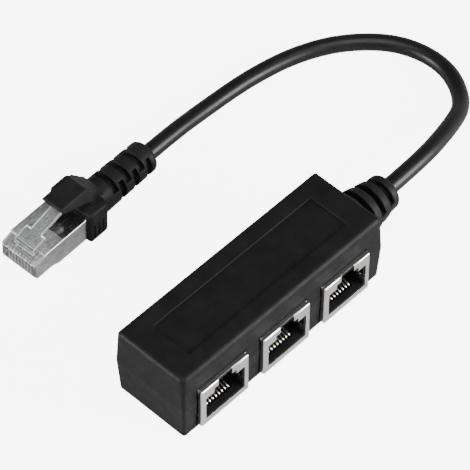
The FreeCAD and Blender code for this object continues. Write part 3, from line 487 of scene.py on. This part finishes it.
# Painted highlight: along the edges the colour turns white and the plastic stops letting light
# through.
link(clear_tree, blend(clear_tree, edge_highlight_mask, tint, (1.0, 1.0, 1.0)),
     clear_shader.inputs["Base Color"])
link(clear_tree, spread(clear_tree, edge_highlight_mask, CLEARNESS, 0.0, 0.0, 1.0),
     clear_shader.inputs["Transmission Weight"])
link(clear_tree, spread(clear_tree, clear_patches, 0.03, 0.1), clear_shader.inputs["Roughness"])
relief(clear_tree, clear_shader, clear_waves, 0.04 * MM)
print("clear:", clear_plastic.name)

# %% [markdown]
# ## Clear front of the plug's top
# On the real plug the clear body shows for about 10 mm of the top, and beside the latch's
# lever almost as far as the boot, before the metal shell begins. The solids' sheet starts
# nearer to the nose, and the solids stay as they are. So on its top the nickel turns into clear
# plastic from the nose back to that line: no metal, most light let through, and a pale tint.

# %% Nickel that is clear in front
CLEAR_TO = 10.0 * MM
CLEAR_BESIDE_LEVER = 19.0 * MM
TOP_SHEET_ABOVE = 6.2 * MM
TOP_SHEET_WITHIN = 5.5 * MM
SHEET_CLEARNESS = 0.9
SHEET_TINT = (0.93, 0.94, 0.94)


def clear_in_front(material):
    """Make the plug's top clear from its nose back to a line, and leave the rest as it was."""
    tree = material.node_tree
    shader = tree.nodes["Principled BSDF"]
    place = plug_coords(tree)
    in_front = maths(tree, "LESS_THAN", place["X"], CLEAR_TO)
    beside = maths(
        tree, "MULTIPLY", maths(tree, "LESS_THAN", place["X"], CLEAR_BESIDE_LEVER),
        maths(tree, "GREATER_THAN", place["Y"], 0.0))
    ahead = maths(tree, "MAXIMUM", in_front, beside)
    on_top = maths(tree, "GREATER_THAN", place["Z"], TOP_SHEET_ABOVE)
    between = maths(
        tree, "MULTIPLY", maths(tree, "LESS_THAN", place["Y"], TOP_SHEET_WITHIN),
        maths(tree, "GREATER_THAN", place["Y"], -TOP_SHEET_WITHIN))
    clear = maths(tree, "MULTIPLY", maths(tree, "MULTIPLY", ahead, on_top), between)
    link(tree, maths(tree, "SUBTRACT", 1.0, clear), shader.inputs["Metallic"])
    link(tree, spread(tree, clear, 0.0, SHEET_CLEARNESS, 0.0, 1.0),
         shader.inputs["Transmission Weight"])
    nickel = shader.inputs["Base Color"].links[0].from_socket
    link(tree, blend(tree, clear, nickel, SHEET_TINT), shader.inputs["Base Color"])


clear_in_front(plug_nickel)
print("clear in front:", plug_nickel.name)

# %% [markdown]
# ## Board and conductors
# The board is sealed inside and could stay plain, but the part may be opened, so it is finished
# like the rest: green solder mask over glass cloth. Each conductor has its colour, and the
# striped ones have a white ground with bands, which are a noise with a hard edge.

# %% Board green
board_green, board_tree, board_shader = shader_material("board_green")
board_vector = object_coords(board_tree)
mask_clouds = noise(board_tree, board_vector, per_metre=900, detail=4)
mask_patches = noise(board_tree, board_vector, per_metre=500, detail=3)
cloth = noise(board_tree, board_vector, per_metre=2500, detail=2)
mask_green = two_tone(board_tree, mask_clouds, (0.01, 0.09, 0.035), (0.02, 0.14, 0.06))
link(board_tree, mask_green, board_shader.inputs["Base Color"])
link(board_tree, spread(board_tree, mask_patches, 0.25, 0.4), board_shader.inputs["Roughness"])
relief(board_tree, board_shader, cloth, 0.02 * MM)
print("board:", board_green.name)

# %% Wire colours
WIRE_COLOURS = {
    "orange": (0.42, 0.16, 0.12),
    "blue": (0.22, 0.27, 0.4),
    "green": (0.2, 0.34, 0.25),
    "brown": (0.2, 0.09, 0.08),
}
WIRE_WHITE = (0.8, 0.79, 0.77)
WIRE_SHADE = 0.8
WIRES = [("orange", True), ("orange", False), ("green", True), ("blue", False),
         ("blue", True), ("green", False), ("brown", True), ("brown", False)]


def insulation(name, colour, striped):
    """Thin wire insulation; a striped one has bands of its colour along a white ground."""
    material, tree, shader = shader_material(name)
    vector = object_coords(tree, (1, 0.6, 1))
    ground = WIRE_WHITE if striped else tuple(WIRE_SHADE * v for v in colour)
    bands = noise(tree, vector, per_metre=700, detail=1)
    patches = noise(tree, vector, per_metre=1500, detail=2)
    grain = noise(tree, vector, per_metre=2500, detail=2)
    edges = (0.52, 0.56) if striped else (0.3, 0.7)
    link(tree, two_tone(tree, bands, ground, colour, *edges), shader.inputs["Base Color"])
    link(tree, spread(tree, patches, 0.3, 0.45), shader.inputs["Roughness"])
    relief(tree, shader, grain, 0.01 * MM)
    return material


wire_finish = [
    insulation(f"wire_{'white_' if striped else ''}{colour}", WIRE_COLOURS[colour], striped)
    for colour, striped in WIRES
]
print("wires:", [m.name for m in wire_finish])

# %% [markdown]
# ## Finishing the CAD solids
# A CAD solid comes as loose triangles with knife-sharp edges, and no moulded or folded edge is
# that sharp. A bevel laid straight on loose triangles would open every seam. So each piece that
# shows is copied, its doubled corners are merged, its flat faces are joined up again, and a
# small bevel goes along the sharp edges. The copy stands for the node, which keeps its place in
# the simulation. The rim of the label recess gets a wider bevel of its own first, because it
# slopes down to the recess instead of dropping.

# %% Bevel for the recess in the roof
ROOF_HEIGHT = cad_box[1][2]
RECESS_SLOPE = 0.4 * MM
NEAR = 0.01 * MM
SQUARE_ENOUGH = 1.0


def slope_recess(shape, height):
    """Bevel the sharp edges at a height that lie in the middle of the roof.

    An edge counts as sharp where its two faces turn by more than a radian.
    """
    rim = [
        edge for edge in shape.edges
        if all(abs(v.co.z - height) < NEAR and abs(v.co.y) < RECESS_WITHIN for v in edge.verts)
        and len(edge.link_faces) == 2 and edge.calc_face_angle(0) > SQUARE_ENOUGH]
    bmesh.ops.bevel(shape, geom=rim, offset=RECESS_SLOPE, segments=2, profile=0.5,
                    affect="EDGES", clamp_overlap=True)
    print("rim edges of the recess:", len(rim))


# %% Soft-edged copy of a node
MERGE_WITHIN = 0.0015 * MM
FLAT_WITHIN = math.radians(1.0)
SHARP_FROM = math.radians(28)


def soften(name, material, width, segments=2, recess_at=None):
    """A merged copy of a CAD node with a bevel in millimetres along its sharp edges.

    A height in recess_at slopes the rim of a recess whose edge lies at that height.
    """
    mesh = nodes[name].data.copy()
    mesh.name = name + "_finished"
    shape = bmesh.new()
    shape.from_mesh(mesh)
    bmesh.ops.remove_doubles(shape, verts=shape.verts, dist=MERGE_WITHIN)
    bmesh.ops.dissolve_limit(
        shape, angle_limit=FLAT_WITHIN, verts=shape.verts, edges=shape.edges)
    if recess_at is not None:
        slope_recess(shape, recess_at)
    shape.to_mesh(mesh)
    shape.free()
    mesh.materials.clear()
    mesh.materials.append(material)
    piece = bpy.data.objects.new(name + "_finished", mesh)
    bpy.context.collection.objects.link(piece)
    mesh.shade_smooth()
    bevel = piece.modifiers.new("soft_edges", "BEVEL")
    bevel.width = width * MM
    bevel.segments = segments
    bevel.limit_method = "ANGLE"
    bevel.angle_limit = SHARP_FROM
    bevel.use_clamp_overlap = True
    flat_first = piece.modifiers.new("flat_faces_stay_flat", "WEIGHTED_NORMAL")
    flat_first.mode = "FACE_AREA"
    flat_first.weight = 80
    flat_first.keep_sharp = True
    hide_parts(name)
    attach(piece, "root")
    return piece


# %% Soft edges on every piece that shows
finished = {
    "housing_bottom": soften("housing_bottom", housing_black, 0.24, 3),
    "housing_top": soften("housing_top", housing_black, 0.24, 3, recess_at=ROOF_HEIGHT),
    "strain_relief": soften("strain_relief", boot_black, 0.15),
    "plug_boot": soften("plug_boot", boot_black, 0.15),
    "plug_shield": soften("plug_shield", plug_nickel, 0.11),
    "plug_body": soften("plug_body", clear_plastic, 0.2),
}
for number in (1, 2, 3):
    for piece_name, material, width, segments in (
            ("jack_shield", jack_nickel, 0.05, 2),
            ("jack_insert", socket_black, 0.06, 2),
            ("jack_contacts", contact_gold, 0.04, 1)):
        node_name = f"{piece_name}_{number}"
        finished[node_name] = soften(node_name, material, width, segments)
finished["plug_contacts"] = soften("plug_contacts", blade_gold, 0.03, 1)
print("finished:", len(finished), "pieces")

# %% [markdown]
# ## Pieces that keep their CAD mesh
# The board is closed in and the sixteen wire ends are thin and round, so a bevel would add
# nothing to them. They only need their finish.

# %% Finish of the board and the wires
plain_finish = {"circuit_board": board_green}
for number, wire in enumerate(wire_finish, start=1):
    plain_finish[f"board_wire_{number}"] = wire
    plain_finish[f"plug_wire_{number}"] = wire
for node_name, material in plain_finish.items():
    for place in nodes[node_name].material_slots:
        place.material = material
print("only coloured:", len(plain_finish), "pieces")

# %% [markdown]
# ## The cable
# A short patch cable is stiff enough to keep one smooth sweep. It leaves the relief straight,
# drops to the table, turns back in a wide loop and runs straight into the boot. A simulated
# rope would find some lie of its own, and the photograph shows this one, so its route is drawn.
# A NURBS spline over the route's control points gives that even curve, and a round bevel its
# thickness.

# %% Cable curve
CABLE_RADIUS = 2.3
ROUTE = [
    (31.0, 0.0, 10.65),
    (59.0, 0.0, 10.65),
    (77.0, 3.95, 7.33),
    (88.9, 9.2, 2.93),
    (95.8, 20.98, 2.35),
    (93.9, 34.78, 2.35),
    (84.3, 45.68, 2.35),
    (72.0, 52.08, 2.35),
    (57.6, 55.08, 2.35),
    (42.1, 55.78, 2.6),
    (26.1, 54.68, 4.95),
    (-14.8, 52.88, 4.95),
]
cable_curve = bpy.data.curves.new("cable_line", "CURVE")
cable_curve.dimensions = "3D"
line = cable_curve.splines.new("NURBS")
line.points.add(len(ROUTE) - 1)
for point, place in zip(line.points, ROUTE):
    point.co = (*(v * MM for v in place), 1.0)
line.order_u = 3
line.use_endpoint_u = True
line.resolution_u = 24
cable_curve.bevel_depth = CABLE_RADIUS * MM
cable_curve.bevel_resolution = 8
cable_curve.use_fill_caps = True
cable = bpy.data.objects.new("cable_jacket", cable_curve)
bpy.context.collection.objects.link(cable)
cable_curve.materials.append(jacket_black)
print("cable:", round(line.calc_length() / MM, 1), "mm long")

# %% What the cable is, and what hangs on it
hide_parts("cable")
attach(cable, "root")
on_cable = [finished["plug_boot"], finished["plug_shield"], finished["plug_body"],
            finished["plug_contacts"]]
on_cable += [nodes[f"plug_wire_{number}"] for number in range(1, 9)]
print("on the cable's end:", len(on_cable), "pieces")
